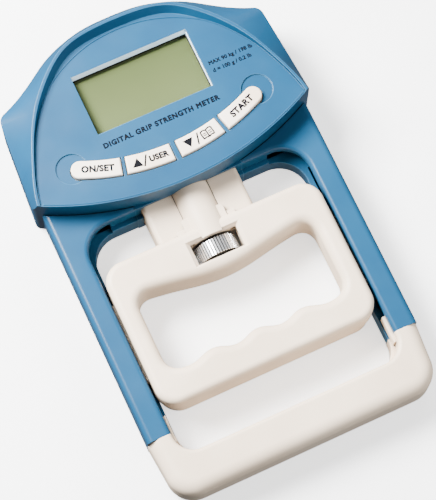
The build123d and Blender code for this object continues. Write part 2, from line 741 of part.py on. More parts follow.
# ---------------------------------------------------------------- slide block
def slide_block():
    """Cross-head between the load cell and the handle, open at the back of the wheel."""
    low, high = BLOCK_Z
    section = RectangleRounded(2 * BLOCK_HALF, high - low, 2.0)
    full = extrude(section, LEG_END_Y - BLOCK_TOP_Y)
    full = Pos(0, LEG_END_Y, (low + high) / 2) * Rot(90, 0, 0) * full
    waist = block((-30, 30), (LEG_END_Y - 1, WEB_Y[0]), (low - 1, LEG_BACK_Z))
    body = full - waist
    body -= block((-LEG_INNER, LEG_INNER), (LEG_END_Y - 1, WEB_Y[0]), (low - 1, SKIN_Z))
    body -= block((-LEG_INNER, LEG_INNER), (LEG_END_Y - 1, SKIN_END_Y), (low - 1, high + 1))
    channel = BOSS_R + GAP
    cover_path = (LEG_END_Y - 1, BLOCK_TOP_Y + 1)
    body -= block((-channel, channel), cover_path, (BOSS_Z - GAP, BOSS_Z))
    body -= shaft(0, cover_path, BOSS_Z, channel) & block((-9, 9), cover_path, (BOSS_Z, high + 1))
    ridge = shaft(0, WEB_Y, BOSS_Z, BOSS_BORE_R - GAP) & block((-9, 9), WEB_Y, (12, 22))
    body += ridge
    body -= shaft(0, (LEG_END_Y - 1, BLOCK_TOP_Y + 1), AXIS_Z, ROD_R + 0.5)
    body -= block((-NUT_HALF, NUT_HALF), NUT_Y, (AXIS_Z - NUT_HALF, 22))
    for side in (-1, 1):
        body -= shaft(side * TIE_X, (BEAM_Y[0] - 9.5, BLOCK_TOP_Y + 1), 7.8, 2.02)
    return body


def rod_nut():
    """Square nut held in the slide block; the adjusting rod screws through it."""
    y = (NUT_Y[0] + 0.05, NUT_Y[1] - 0.05)
    half = NUT_HALF - 0.05
    nut = block((-half, half), y, (AXIS_Z - half, AXIS_Z + half))
    return nut - shaft(0, (0, 20), AXIS_Z, ROD_R + RUN_FIT)


# ---------------------------------------------------------------- adjusting wheel
def adjusting_wheel():
    """Knurled steel wheel pressed on the rod."""
    points = []
    for index in range(KNURLS):
        corners = ((0, WHEEL_R), (KNURL_LAND, WHEEL_R), ((1 + KNURL_LAND) / 2, WHEEL_R - KNURL_DEPTH))
        for share, radius in corners:
            angle = 2 * pi * (index + share) / KNURLS
            points.append((radius * cos(angle), radius * sin(angle)))
    low, high = WHEEL_Y
    outline = make_face(Polyline(*points, close=True))
    gear = Pos(0, low, AXIS_Z) * Rot(90, 0, 0) * extrude(outline, low - high)
    drum = Pos(0, (low + high) / 2, AXIS_Z) * Rot(90, 0, 0) * Cylinder(WHEEL_R, high - low)
    drum = chamfer(drum.edges().filter_by(GeomType.CIRCLE), 0.7)
    return (gear & drum) - shaft(0, (low - 1, high + 1), AXIS_Z, ROD_R + 0.01)


def threaded_rod():
    """Adjusting rod; the thread is left as its outer cylinder."""
    rod = shaft(0, (WHEEL_Y[0], ROD_TOP_Y), AXIS_Z, ROD_R)
    rod = chamfer(rod.edges().filter_by(GeomType.CIRCLE).sort_by(Axis.Y)[-1], 0.6)
    return rod + shaft(0, (JOURNAL_END_Y, WHEEL_Y[0]), AXIS_Z, JOURNAL_R)


def wheel_washers():
    """Thrust washers above and below the wheel."""
    upper = shaft(0, (WHEEL_Y[1], WHEEL_Y[1] + 0.5), AXIS_Z, 5.5)
    upper -= shaft(0, (-20, 20), AXIS_Z, ROD_R + 0.04)
    lower = shaft(0, (WHEEL_Y[0] - 0.5, WHEEL_Y[0]), AXIS_Z, 5.0)
    lower -= shaft(0, (-20, 20), AXIS_Z, JOURNAL_R + 0.04)
    return Compound(children=[upper, lower])


# ---------------------------------------------------------------- handle
def grip_opening():
    """Plan of the finger opening: arched above, four finger grooves below."""
    groove_low = GROOVE_CREST_Y - GROOVE_DEPTH
    arch_end = (31.0, GRIP_SHOULDER_Y - 0.2)
    top_corner = (GRIP_HALF, GRIP_SHOULDER_Y - 7.0)
    low_corner = (GRIP_HALF, GROOVE_CREST_Y + 5.0)
    last_groove = (1.5 * GROOVE_PITCH + 1.0, groove_low)
    right = [
        Spline((0, GRIP_ARCH_Y), (20, GRIP_ARCH_Y + 2.6), arch_end, tangents=((1, 0), (1, 0.12))),
        Spline(arch_end, top_corner, tangents=((1, 0.12), (0, -1))),
        Line(top_corner, low_corner),
        Spline(low_corner, last_groove, tangents=((0, -1), (-1, 0))),
        Spline(last_groove, (GROOVE_PITCH, GROOVE_CREST_Y), tangents=((-1, 0), (-1, 0))),
        Spline((GROOVE_PITCH, GROOVE_CREST_Y), (GROOVE_PITCH / 2, groove_low),
               tangents=((-1, 0), (-1, 0))),
        Spline((GROOVE_PITCH / 2, groove_low), (0, GROOVE_CREST_Y), tangents=((-1, 0), (-1, 0))),
    ]
    return symmetric_face(right, [])


def handle_plan(half):
    """Outer plan of one handle shell."""
    low, high = HANDLE_Y
    plan = RectangleRounded(2 * half, high - low, HANDLE_CORNER_R)
    return Pos(0, (low + high) / 2) * plan


def handle_shell(half, z, front):
    """One handle shell with its outer and grip edges rounded over."""
    shell = slab(handle_plan(half), z) - slab(grip_opening(), (z[0] - 1, z[1] + 1))
    level = shell.edges().group_by(Axis.Z)[-1 if front else 0]
    outside = level.filter_by(lambda edge: not inside_grip(edge @ 0.5))
    shell = fillet(outside, 2.6)
    level = shell.edges().group_by(Axis.Z)[-1 if front else 0]
    return fillet(level.filter_by(lambda edge: inside_grip(edge @ 0.5)), 3.6)


def inside_grip(point):
    """Whether a point is on the grip opening's edge and not on the handle's outside."""
    return abs(point.X) < GRIP_HALF + 1 and HANDLE_Y[0] + 8 < point.Y < HANDLE_Y[1] - 8


def handle_room():
    """Hollows inside the handle: wheel chamber, leg pockets and weight-saving pockets."""
    inner, outer = LEG_INNER - 0.4, BLOCK_HALF + 0.4
    pocket_y = (LEG_END_Y - 6.3, HANDLE_Y[1] + 1)
    room = both_sides(block((inner, outer), pocket_y, (LEG_BACK_Z - GAP, BLOCK_Z[1] + GAP)))
    skin_z = (SKIN_Z - GAP, BLOCK_Z[1] + GAP)
    skin_y = (SKIN_END_Y - HANDLE_TRAVEL - GAP, HANDLE_Y[1] + 1)
    room += both_sides(block((BOSS_R - 1, outer), skin_y, skin_z)) - shaft(0, skin_y, BOSS_Z, BOSS_R)
    room += block((-CHAMBER_HALF, CHAMBER_HALF), CHAMBER_Y, (0, 22))
    room += shaft(0, (-8, HANDLE_Y[1] + 1), AXIS_Z, ROD_R + RUN_FIT)
    room += shaft(0, (JOURNAL_END_Y - 0.3, CHAMBER_Y[0] + 1), AXIS_Z, JOURNAL_R + RUN_FIT)
    room += block((-30, 30), (-56.5, -50.5), (4, 18))
    room += both_sides(block((40.6, 42.6), (-42, -18), (4, 18)))
    return room


def handle_front():
    """Front shell of the handle with the rod cover, window bevel and guide ribs."""
    shell = handle_shell(HANDLE_HALF, (AXIS_Z, HANDLE_Z[1]), True)
    cover = shaft(0, (CHAMBER_Y[1], BOSS_TOP_Y), BOSS_Z, BOSS_R)
    cover = cover & block((-9, 9), (CHAMBER_Y[1], BOSS_TOP_Y), (BOSS_Z, 23))
    flare = block((-8.8, 8.8), (HANDLE_Y[1] - 3, HANDLE_Y[1] + 5.2), FLARE_Z)
    flare = fillet(flare.edges().filter_by(Axis.Z), 1.2)
    bore = shaft(0, (HANDLE_Y[1], BOSS_TOP_Y + 1), BOSS_Z, BOSS_BORE_R)
    lip = block((-LEG_INNER - 0.6, LEG_INNER + 0.6), (HANDLE_Y[1] - 3, HANDLE_Y[1] + 1.6), LIP_Z)
    shell += cover + flare + fillet(lip.edges().filter_by(Axis.Z), 0.8)
    shell -= bore & block((-9, 9), (HANDLE_Y[1], 40), (BOSS_Z - 1, 23))
    rib = block((HANDLE_HALF - 1.0, 50.0), (-46.0, -13.0), (SPLIT_Z + GAP, SLOT_Z[1] - 0.6))
    shell += both_sides(fillet(rib.edges().filter_by(Axis.Z), 0.8))
    low, high = CHAMBER_Y
    mouth = Pos(0, (low + high) / 2, HANDLE_Z[1]) * Rectangle(2 * CHAMBER_HALF + 3, high - low + 2)
    throat = Pos(0, (low + high) / 2, HANDLE_Z[1] - 1.5) * Rectangle(2 * CHAMBER_HALF, high - low)
    shell -= loft([throat, mouth])
    shell -= handle_room()
    for x, y in HANDLE_SCREWS:
        shell += post(x, y, (AXIS_Z, 17.5), 3.0) & slab(handle_plan(HANDLE_HALF), HANDLE_Z)
        shell -= screw_room(x, y, 5.4, 16.0, 0)
    return shell


def handle_rear():
    """Rear shell of the handle, narrow enough to pass between the rear rails."""
    shell = handle_shell(HANDLE_REAR_HALF, (HANDLE_Z[0], AXIS_Z), False)
    shell -= handle_room()
    for x, y in HANDLE_SCREWS:
        shell += post(x, y, (HANDLE_Z[0] + 1, AXIS_Z), 4.2)
        shell -= screw_room(x, y, 5.4, 16.0, HANDLE_Z[0])
    return shell


# ---------------------------------------------------------------- all the nodes
def nodes():
    """Name and shape of every node."""
    pieces = {
        "front_housing": front_housing(),
        "rear_housing": rear_housing(),
        "guide_collar": guide_collar(),
        "base_grip_front": base_grip_front(),
        "base_grip_rear": base_grip_rear(),
        "display_window": display_window(),
        "lcd_panel": lcd_panel(),
        "lcd_carrier": lcd_carrier(),
        "rubber_connector": rubber_connector(),
        "main_board": main_board(),
        "key_board": key_board(),
        "key_domes": key_domes(),
        "board_link": board_link(),
        "controller_chip": controller_chip(),
        "buzzer": buzzer(),
        "load_cell": load_cell(),
        "strain_gauges": strain_gauges(),
        "tie_bolts": tie_bolts(),
        "load_cell_lead": load_cell_lead(),
        "load_cell_screws": screw_set([(-36, sum(BEAM_Y) / 2), (36, sum(BEAM_Y) / 2)], 1.9, 10.0),
        "battery_contacts": battery_contacts(),
        "battery_door": battery_door(),
        "head_screws": screw_set(HEAD_SCREWS, 4.2, 18.0),
        "base_screws": screw_set(BASE_SCREWS, 4.2, 14.0),
        "slide_block": slide_block(),
        "rod_nut": rod_nut(),
        "adjusting_wheel": adjusting_wheel(),
        "threaded_rod": threaded_rod(),
        "wheel_washers": wheel_washers(),
        "handle_front": handle_front(),
        "handle_rear": handle_rear(),
        "handle_screws": screw_set(HANDLE_SCREWS, 5.4, 16.0),
    }
    for number, (y, sense) in enumerate(zip(CELL_YS, (1, -1)), start=1):
        pieces[f"battery_cell_{number}"] = battery_cell(y, sense)
    for name, span in KEY_SPANS.items():
        pieces[name] = key(span)
    return pieces


if __name__ == "__main__":
    os.makedirs("parts", exist_ok=True)
    for name, shape in nodes().items():
        export_step(shape, f"parts/{name}.step")
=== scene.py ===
"""Looks of the digital hand dynamometer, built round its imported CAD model.

Metres, in the CAD model's frame: +X to the reader's right, +Y from the palm grip to the top of
the display head, +Z out of the display, with the back lying on z = 0.
"""
import json
from math import asin, cos, pi, radians, sin

import bmesh
import bpy
from mathutils import Euler, Matrix, Vector


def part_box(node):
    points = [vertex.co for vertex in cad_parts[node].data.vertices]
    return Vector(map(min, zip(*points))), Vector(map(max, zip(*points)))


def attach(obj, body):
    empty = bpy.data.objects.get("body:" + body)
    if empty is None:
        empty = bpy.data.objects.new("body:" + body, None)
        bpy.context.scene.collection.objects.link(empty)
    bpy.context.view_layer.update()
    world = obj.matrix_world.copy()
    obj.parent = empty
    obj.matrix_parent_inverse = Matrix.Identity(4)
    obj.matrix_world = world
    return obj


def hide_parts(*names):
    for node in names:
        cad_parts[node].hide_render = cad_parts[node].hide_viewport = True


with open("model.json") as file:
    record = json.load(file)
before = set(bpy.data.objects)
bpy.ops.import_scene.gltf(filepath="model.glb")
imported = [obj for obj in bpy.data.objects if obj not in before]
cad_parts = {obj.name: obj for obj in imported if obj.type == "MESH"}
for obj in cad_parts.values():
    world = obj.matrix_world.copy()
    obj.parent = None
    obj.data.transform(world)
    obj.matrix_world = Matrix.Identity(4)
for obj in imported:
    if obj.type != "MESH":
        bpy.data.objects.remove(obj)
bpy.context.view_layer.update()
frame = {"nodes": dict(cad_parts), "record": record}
NODES = frame["nodes"]
MM = 0.001

# ------------------------------------------------------------------ colours (linear RGB)
HOUSING_BLUE = (0.0090, 0.064, 0.136)
HOUSING_DEEP = (0.0062, 0.052, 0.116)
# lighter edge colour: partly wear, partly a painted highlight along the rims
HOUSING_WEAR_AND_HIGHLIGHT = (0.090, 0.245, 0.400)
GRIP_CREAM = (0.800, 0.655, 0.505)
GRIP_SHADE = (0.720, 0.580, 0.440)
# lighter edge colour: partly wear, partly a painted highlight along the edges
GRIP_WEAR_AND_HIGHLIGHT = (0.930, 0.830, 0.700)
KEY_WHITE = (0.930, 0.850, 0.760)
LCD_LOW = (0.112, 0.142, 0.056)
LCD_HIGH = (0.074, 0.096, 0.034)
INK = (0.0016, 0.0018, 0.0030)
INK_THIN = (0.0040, 0.0045, 0.0070)


# ------------------------------------------------------------------ material building blocks
def new_material(name):
    """Empty node material with a Principled shader; returns material, nodes, links, shader."""
    material = bpy.data.materials.new(name)
    material.use_nodes = True
    nodes = material.node_tree.nodes
    return material, nodes, material.node_tree.links, nodes["Principled BSDF"]


def object_noise(nodes, links, scale, detail=3.0, stretch=(1, 1, 1)):
    """Noise in object space, per metre; stretch below 1 draws it out along that axis."""
    coordinates = nodes.new("ShaderNodeTexCoord")
    mapping = nodes.new("ShaderNodeMapping")
    mapping.inputs["Scale"].default_value = stretch
    noise = nodes.new("ShaderNodeTexNoise")
    noise.inputs["Scale"].default_value = scale
    noise.inputs["Detail"].default_value = detail
    links.new(coordinates.outputs["Object"], mapping.inputs["Vector"])
    links.new(mapping.outputs["Vector"], noise.inputs["Vector"])
    return noise.outputs["Fac"]


def ramp(nodes, links, factor, stops):
    """Colour ramp over (position, colour) stops."""
    node = nodes.new("ShaderNodeValToRGB")
    band = node.color_ramp
    while len(band.elements) < len(stops):
        band.elements.new(0.5)
    for element, (position, colour) in zip(band.elements, stops):
        element.position = position
        element.color = (*colour, 1) if len(colour) == 3 else colour
    links.new(factor, node.inputs["Fac"])
    return node.outputs["Color"]


def spread(nodes, links, factor, low, high):
    """Maps a 0-1 factor on to low-high."""
    node = nodes.new("ShaderNodeMapRange")
    node.inputs["To Min"].default_value = low
    node.inputs["To Max"].default_value = high
    links.new(factor, node.inputs["Value"])
    return node.outputs["Result"]


def bump(nodes, links, shader, height, distance, strength=1.0, normal=None):
    """Bump on the shader's normal, on top of another normal if one is given."""
    node = nodes.new("ShaderNodeBump")
    node.inputs["Distance"].default_value = distance
    node.inputs["Strength"].default_value = strength
    links.new(height, node.inputs["Height"])
    if normal is not None:
        links.new(normal, node.inputs["Normal"])
    links.new(node.outputs["Normal"], shader.inputs["Normal"])
    return node.outputs["Normal"]


def soft_edges(nodes, radius):
    """Normal rounded over the piece's sharp edges."""
    node = nodes.new("ShaderNodeBevel")
    node.samples = 6
    node.inputs["Radius"].default_value = radius
    return node.outputs["Normal"]


def edge_mask(nodes, links, rounded):
    """1 where a rounded normal leaves the true one, that is along edges; 0 on plain faces."""
    geometry = nodes.new("ShaderNodeNewGeometry")
    dot = nodes.new("ShaderNodeVectorMath")
    dot.operation = "DOT_PRODUCT"
    links.new(rounded, dot.inputs[0])
    links.new(geometry.outputs["Normal"], dot.inputs[1])
    fall = nodes.new("ShaderNodeMapRange")
    fall.inputs["From Min"].default_value = 0.99
    fall.inputs["From Max"].default_value = 0.90
    links.new(dot.outputs["Value"], fall.inputs["Value"])
    return fall.outputs["Result"]


def mixed(nodes, links, factor, first, second):
    """Colour that goes from first to second as the factor rises."""
    mix = nodes.new("ShaderNodeMix")
    mix.data_type = "RGBA"
    links.new(factor, mix.inputs["Factor"])
    links.new(first, mix.inputs["A"])
    mix.inputs["B"].default_value = (*second, 1)
    return mix.outputs["Result"]


def painted_gap_shade_mask(nodes, links):
    """0 on open faces, rising to 0.9 down narrow gaps: the mask of the painted shade in the gaps."""
    hollow = nodes.new("ShaderNodeAmbientOcclusion")
    hollow.samples = 6
    hollow.inputs["Distance"].default_value = 3.5 * MM
    fall = nodes.new("ShaderNodeMapRange")
    fall.inputs["From Min"].default_value = 0.55
    fall.inputs["From Max"].default_value = 0.15
    fall.inputs["To Max"].default_value = 0.9
    links.new(hollow.outputs["AO"], fall.inputs["Value"])
    return fall.outputs["Result"]


def moulded_plastic(name, light, deep, gloss, grain=0.000012, edge=0.00035, wear_and_highlight=None, specular=0.3,
                    gap_shade=None):
    """Injection-moulded plastic: flow mottling, spark-eroded grain, edges lightened as wear and painted
    highlight, painted shade in the gaps.
    """
    material, nodes, links, shader = new_material(name)
    mottling = object_noise(nodes, links, 35, 4)
    colour = ramp(nodes, links, mottling, [(0.35, deep), (0.68, light)])
    rounded = soft_edges(nodes, edge)
    # edges lightened in patches: partly wear, partly a painted highlight
    if wear_and_highlight:
        patches = object_noise(nodes, links, 260, 5)
        wear_and_highlight_mask = nodes.new("ShaderNodeMath")
        wear_and_highlight_mask.operation = "MULTIPLY"
        links.new(edge_mask(nodes, links, rounded), wear_and_highlight_mask.inputs[0])
        links.new(spread(nodes, links, patches, 0.15, 0.85), wear_and_highlight_mask.inputs[1])
        colour = mixed(nodes, links, wear_and_highlight_mask.outputs[0], colour, wear_and_highlight)
    # painted shade: a dark colour mixed into narrow gaps by the occlusion mask
    if gap_shade:
        colour = mixed(nodes, links, painted_gap_shade_mask(nodes, links), colour, gap_shade)
    links.new(colour, shader.inputs["Base Color"])
    handling = object_noise(nodes, links, 90, 6)
    links.new(spread(nodes, links, handling, gloss - 0.07, gloss + 0.10), shader.inputs["Roughness"])
    fine = object_noise(nodes, links, 5200, 2)
    bump(nodes, links, shader, fine, grain, 0.6, rounded)
    shader.inputs["Specular IOR Level"].default_value = specular
    return material


def metal(name, colour, dark, roughness, stretch=(1, 1, 1), scale=900):
    """Machined metal with lay marks drawn out along the direction of low stretch."""
    material, nodes, links, shader = new_material(name)
    lay = object_noise(nodes, links, scale, 4, stretch)
    links.new(ramp(nodes, links, lay, [(0.3, dark), (0.7, colour)]), shader.inputs["Base Color"])
    links.new(spread(nodes, links, lay, roughness - 0.08, roughness + 0.12), shader.inputs["Roughness"])
    bump(nodes, links, shader, lay, 0.00001, 0.5)
    shader.inputs["Metallic"].default_value = 1.0
    return material


def display_glass():
    """Blank grey-green display, a little lighter towards its foot, with a faint pixel haze."""
    material, nodes, links, shader = new_material("lcd_grey_green")
    low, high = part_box("lcd_panel")
    coordinates = nodes.new("ShaderNodeTexCoord")
    split = nodes.new("ShaderNodeSeparateXYZ")
    links.new(coordinates.outputs["Object"], split.inputs["Vector"])
    height = nodes.new("ShaderNodeMapRange")
    height.inputs["From Min"].default_value = low.y
    height.inputs["From Max"].default_value = high.y
    links.new(split.outputs["Y"], height.inputs["Value"])
    haze = object_noise(nodes, links, 60, 5)
    blend = nodes.new("ShaderNodeMath")
    blend.operation = "MULTIPLY_ADD"
    blend.inputs[1].default_value = 0.35
    links.new(haze, blend.inputs[0])
    links.new(height.outputs["Result"], blend.inputs[2])
    links.new(ramp(nodes, links, blend.outputs[0], [(0.1, LCD_LOW), (1.0, LCD_HIGH)]),
              shader.inputs["Base Color"])
    grain = object_noise(nodes, links, 3000, 2)
    links.new(spread(nodes, links, grain, 0.22, 0.34), shader.inputs["Roughness"])
    bump(nodes, links, shader, grain, 0.000004, 0.4)
    shader.inputs["Specular IOR Level"].default_value = 0.1
    return material


def clear_pane():
    """Clear pane that shows mostly as a reflection over the display."""
    material, nodes, links, shader = new_material("clear_pane")
    haze = object_noise(nodes, links, 120, 4)
    links.new(spread(nodes, links, haze, 0.03, 0.08), shader.inputs["Roughness"])
    tint = ramp(nodes, links, haze, [(0.3, (0.010, 0.014, 0.012)), (0.7, (0.020, 0.024, 0.022))])
    links.new(tint, shader.inputs["Base Color"])
    shader.inputs["Alpha"].default_value = 0.05
    shader.inputs["IOR"].default_value = 1.49
    return material


def ink():
    """Printed ink, slightly uneven in gloss."""
    material, nodes, links, shader = new_material("print_ink")
    film = object_noise(nodes, links, 1500, 3)
    links.new(ramp(nodes, links, film, [(0.2, INK), (0.8, INK_THIN)]),
              shader.inputs["Base Color"])
    links.new(spread(nodes, links, film, 0.45, 0.65), shader.inputs["Roughness"])
    shader.inputs["Specular IOR Level"].default_value = 0.06
    return material


def knurled_steel():
    """Bright steel with painted shade down in the knurls, told by the distance from the wheel's axis."""
    material, nodes, links, shader = new_material("knurled_steel")
    low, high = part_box("adjusting_wheel")
    coordinates = nodes.new("ShaderNodeTexCoord")
    centred = nodes.new("ShaderNodeVectorMath")
    centred.operation = "SUBTRACT"
    centred.inputs[1].default_value = (0, 0, (low.z + high.z) / 2)
    flattened = nodes.new("ShaderNodeVectorMath")
    flattened.operation = "MULTIPLY"
    flattened.inputs[1].default_value = (1, 0, 1)
    distance = nodes.new("ShaderNodeVectorMath")
    distance.operation = "LENGTH"
    links.new(coordinates.outputs["Object"], centred.inputs[0])
    links.new(centred.outputs["Vector"], flattened.inputs[0])
    links.new(flattened.outputs["Vector"], distance.inputs[0])
    crest = nodes.new("ShaderNodeMapRange")
    crest.inputs["From Min"].default_value = (high.x - low.x) / 2 - 0.30 * MM
    crest.inputs["From Max"].default_value = (high.x - low.x) / 2 - 0.03 * MM
    links.new(distance.outputs["Value"], crest.inputs["Value"])
    lay = object_noise(nodes, links, 1200, 4)
    wave = nodes.new("ShaderNodeMath")
    wave.operation = "MULTIPLY_ADD"
    wave.inputs[1].default_value = 0.15
    links.new(lay, wave.inputs[0])
    links.new(crest.outputs["Result"], wave.inputs[2])
    # painted shade: near black down in the knurl grooves, bright steel on the crests
    stops = [(0.0, (0.004, 0.004, 0.004)), (0.55, (0.06, 0.06, 0.06)), (0.9, (0.90, 0.90, 0.91))]
    links.new(ramp(nodes, links, wave.outputs[0], stops), shader.inputs["Base Color"])
    links.new(spread(nodes, links, lay, 0.18, 0.34), shader.inputs["Roughness"])
    bump(nodes, links, shader, lay, 0.000008, 0.5)
    shader.inputs["Metallic"].default_value = 0.9
    return material


MATERIALS = {
    "housing_blue": moulded_plastic("abs_blue", HOUSING_BLUE, HOUSING_DEEP, 0.30, edge=0.00045,
                                    wear_and_highlight=HOUSING_WEAR_AND_HIGHLIGHT, specular=0.22, gap_shade=(0.0015, 0.008, 0.018)),
    "grip_cream": moulded_plastic("abs_cream", GRIP_CREAM, GRIP_SHADE, 0.40, wear_and_highlight=GRIP_WEAR_AND_HIGHLIGHT,
                                  gap_shade=(0.030, 0.020, 0.013)),
    "key_cream": moulded_plastic("key_white", KEY_WHITE, GRIP_CREAM, 0.38, edge=0.0002),
    "window_clear": clear_pane(),
    "lcd_green": display_glass(),
    "carrier_white": moulded_plastic("carrier_plastic", (0.72, 0.75, 0.78), (0.62, 0.66, 0.70), 0.45),
    "zebra_rubber": moulded_plastic("striped_rubber", (0.03, 0.03, 0.03), (0.015, 0.015, 0.015), 0.7),
    "board_green": moulded_plastic("solder_mask", (0.012, 0.11, 0.035), (0.008, 0.08, 0.025), 0.35),
    "dome_steel": metal("dome_steel", (0.75, 0.75, 0.76), (0.55, 0.55, 0.57), 0.22),
    "ribbon": moulded_plastic("film_ribbon", (0.55, 0.20, 0.03), (0.42, 0.14, 0.02), 0.3),
    "chip_black": moulded_plastic("resin_black", (0.004, 0.004, 0.004), (0.002, 0.002, 0.002), 0.45,
                                  specular=0.1),
    "beam_aluminium": metal("milled_aluminium", (0.72, 0.73, 0.75), (0.55, 0.56, 0.58), 0.30, (0.1, 1, 1)),
    "gauge_film": moulded_plastic("gauge_film", (0.50, 0.27, 0.05), (0.38, 0.20, 0.04), 0.35),
    "lead_red": moulded_plastic("lead_insulation", (0.35, 0.02, 0.015), (0.28, 0.015, 0.01), 0.45),
    "screw_steel": metal("zinc_steel", (0.62, 0.62, 0.64), (0.42, 0.42, 0.45), 0.32),
    "wheel_steel": knurled_steel(),
    "contact_steel": metal("nickel_plate", (0.72, 0.69, 0.62), (0.55, 0.52, 0.46), 0.25),
    "cell_jacket": moulded_plastic("cell_jacket", (0.05, 0.09, 0.16), (0.03, 0.05, 0.10), 0.25),
}
INK_MATERIAL = ink()


def dress_cad_nodes():
    """Gives every CAD node the material of its slot."""
    for part in frame["record"]["subparts"]:
        node = NODES[part["node"]]
        node.data.materials.clear()
        node.data.materials.append(MATERIALS[part["material_slot"]])


dress_cad_nodes()


# ------------------------------------------------------------------ mesh helpers
def add_mesh(name, verts, faces, material, body, smooth=False):
    """Mesh piece with one material, riding on a body."""
    mesh = bpy.data.meshes.new(name)
    mesh.from_pydata(verts, [], faces)
    if smooth:
        mesh.shade_smooth()
    mesh.materials.append(material)
    piece = bpy.data.objects.new(name, mesh)
    bpy.context.scene.collection.objects.link(piece)
    if body:
        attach(piece, body)
    return piece


def prism(outline, low, high):
    """Vertices and faces of a flat outline (counter-clockwise) raised from low to high."""
    count = len(outline)
    verts = [(x, y, low) for x, y in outline] + [(x, y, high) for x, y in outline]
    faces = [tuple(reversed(range(count))), tuple(range(count, 2 * count))]
    for index in range(count):
        after = (index + 1) % count
        faces.append((index, after, after + count, index + count))
    return verts, faces


def joined(parts):
    """Several (verts, faces) lists as one."""
    verts, faces = [], []
    for part_verts, part_faces in parts:
        start = len(verts)
        verts += part_verts
        faces += [tuple(start + index for index in face) for face in part_faces]
    return verts, faces


def stroke(start, end, width, low, high):
    """Straight bar of the given width between two points."""
    along = (Vector(end) - Vector(start)).normalized() * width / 2
    side = Vector((-along.y, along.x))
    a, b = Vector(start), Vector(end)
    return prism([tuple(a - side), tuple(b - side), tuple(b + side), tuple(a + side)], low, high)


# ------------------------------------------------------------------ printed legends
INK_FILM = 0.035 * MM
PANEL_TILT = radians(-1.9)
PANEL_FOOT = (17.0 * MM, 29.9 * MM)
KEY_TOP = 30.7 * MM
KEY_CENTRE_Y = 118.2 * MM
KEY_MIDDLE_R = 88.45 * MM


def print_text(name, text, size, place, turn, body, tilt=0.0, spacing=1.0, weight=0.08 * MM):
    """A line of print, centred on place, turned about Z and tipped about X."""
    curve = bpy.data.curves.new(name, "FONT")
    curve.body = text
    curve.size = size
    curve.align_x = "CENTER"
    curve.align_y = "CENTER"
    curve.extrude = INK_FILM
    curve.bevel_depth = weight
    curve.bevel_resolution = 0
    curve.space_character = spacing
    curve.resolution_u = 4
    piece = bpy.data.objects.new(name, curve)
    bpy.context.scene.collection.objects.link(piece)
    piece.scale.z = 0.4
    piece.location = place
    piece.rotation_euler = Euler((tilt, 0, turn))
    curve.materials.append(INK_MATERIAL)
    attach(piece, body)
    return piece


def panel_height(y):
    """Height of the display panel's face at y."""
    return PANEL_FOOT[1] + (y - PANEL_FOOT[0]) * sin(PANEL_TILT)


def on_panel(x, y):
    """Point on the display panel's face, given in millimetres."""
    return Vector((x * MM, y * MM, panel_height(y * MM)))


def on_key(x, aside=0.0):
    """Place on the middle of the key strip at x (mm), moved outwards by aside, and its turn."""
    turn = asin(x * MM / KEY_MIDDLE_R)
    radius = KEY_MIDDLE_R + aside * MM
    return Vector((radius * sin(turn), KEY_CENTRE_Y - radius * cos(turn), KEY_TOP)), turn


def key_text(name, text, size, x, body):
    """Legend on a key, square to the strip."""
    place, turn = on_key(x)
    print_text(name, text, size * MM, place, turn, body, spacing=1.08, weight=0.21 * MM)


def key_symbol(name, parts, x, body):
    """Symbol on a key, drawn round its own origin and square to the strip."""
    verts, faces = joined(parts)
    place, turn = on_key(x)
    matrix = Matrix.Translation(place) @ Matrix.Rotation(turn, 4, "Z")
    verts = [tuple(matrix @ Vector(v)) for v in verts]
    add_mesh(name, verts, faces, INK_MATERIAL, body)


def triangle(sense):
    """Solid triangle that points up (1) or down (-1)."""
    half, high = 2.15 * MM, 1.8 * MM
    outline = [(-half, -high * sense), (half, -high * sense), (0, high * sense)]
    return prism(outline if sense > 0 else outline[::-1], -INK_FILM, INK_FILM)


def open_book():
    """Line drawing of an open book: two pages, a spine and two lines of text on each page."""
    parts = []
    width = 0.58 * MM
    for side in (-1, 1):
        page = [(0, -1.7), (side * 1.2, -1.3), (side * 2.4, -1.6), (side * 2.4, 1.6), (side * 1.2, 1.8),
                (0, 1.4)]
        for a, b in zip(page, page[1:]):
            parts.append(stroke([c * MM for c in a], [c * MM for c in b], width, -INK_FILM, INK_FILM))
        for level in (-0.45, 0.35):
            a, b = (side * 0.55 * MM, level * MM), (side * 1.9 * MM, (level + 0.1) * MM)
            parts.append(stroke(a, b, 0.42 * MM, -INK_FILM, INK_FILM))
    parts.append(stroke((0, -1.7 * MM), (0, 1.4 * MM), width, -INK_FILM, INK_FILM))
    return parts


def slash():
    """Slanting stroke between two legends."""
    return stroke((-0.8 * MM, -2.3 * MM), (0.8 * MM, 2.3 * MM), 0.66 * MM, -INK_FILM, INK_FILM)


def legends():
    """Generic caption and range on the panel, and the four keys' legends."""
    print_text("print_caption", "DIGITAL GRIP STRENGTH METER", 2.9 * MM, on_panel(0, 43.0), 0, "frame",
               tilt=PANEL_TILT, spacing=1.18, weight=0.17 * MM)
    print_text("print_range", "MAX 90 kg / 198 lb", 2.2 * MM, on_panel(36.4, 57.5), 0, "frame",
               tilt=PANEL_TILT, spacing=1.07, weight=0.11 * MM)
    print_text("print_step", "d = 100 g / 0.2 lb", 2.2 * MM, on_panel(35.6, 54.0), 0, "frame",
               tilt=PANEL_TILT, spacing=1.07, weight=0.11 * MM)
    key_text("print_on", "ON/SET", 3.5, -30.6, "button_on")
    key_text("print_user", "USER", 3.2, -7.0, "button_up")
    key_text("print_start", "START", 3.6, 31.0, "button_start")
    key_symbol("print_up", [triangle(1)], -15.6, "button_up")
    key_symbol("print_up_slash", [slash()], -12.4, "button_up")
    key_symbol("print_down", [triangle(-1)], 6.0, "button_down")
    key_symbol("print_down_slash", [slash()], 9.8, "button_down")
    key_symbol("print_records", open_book(), 14.1, "button_down")


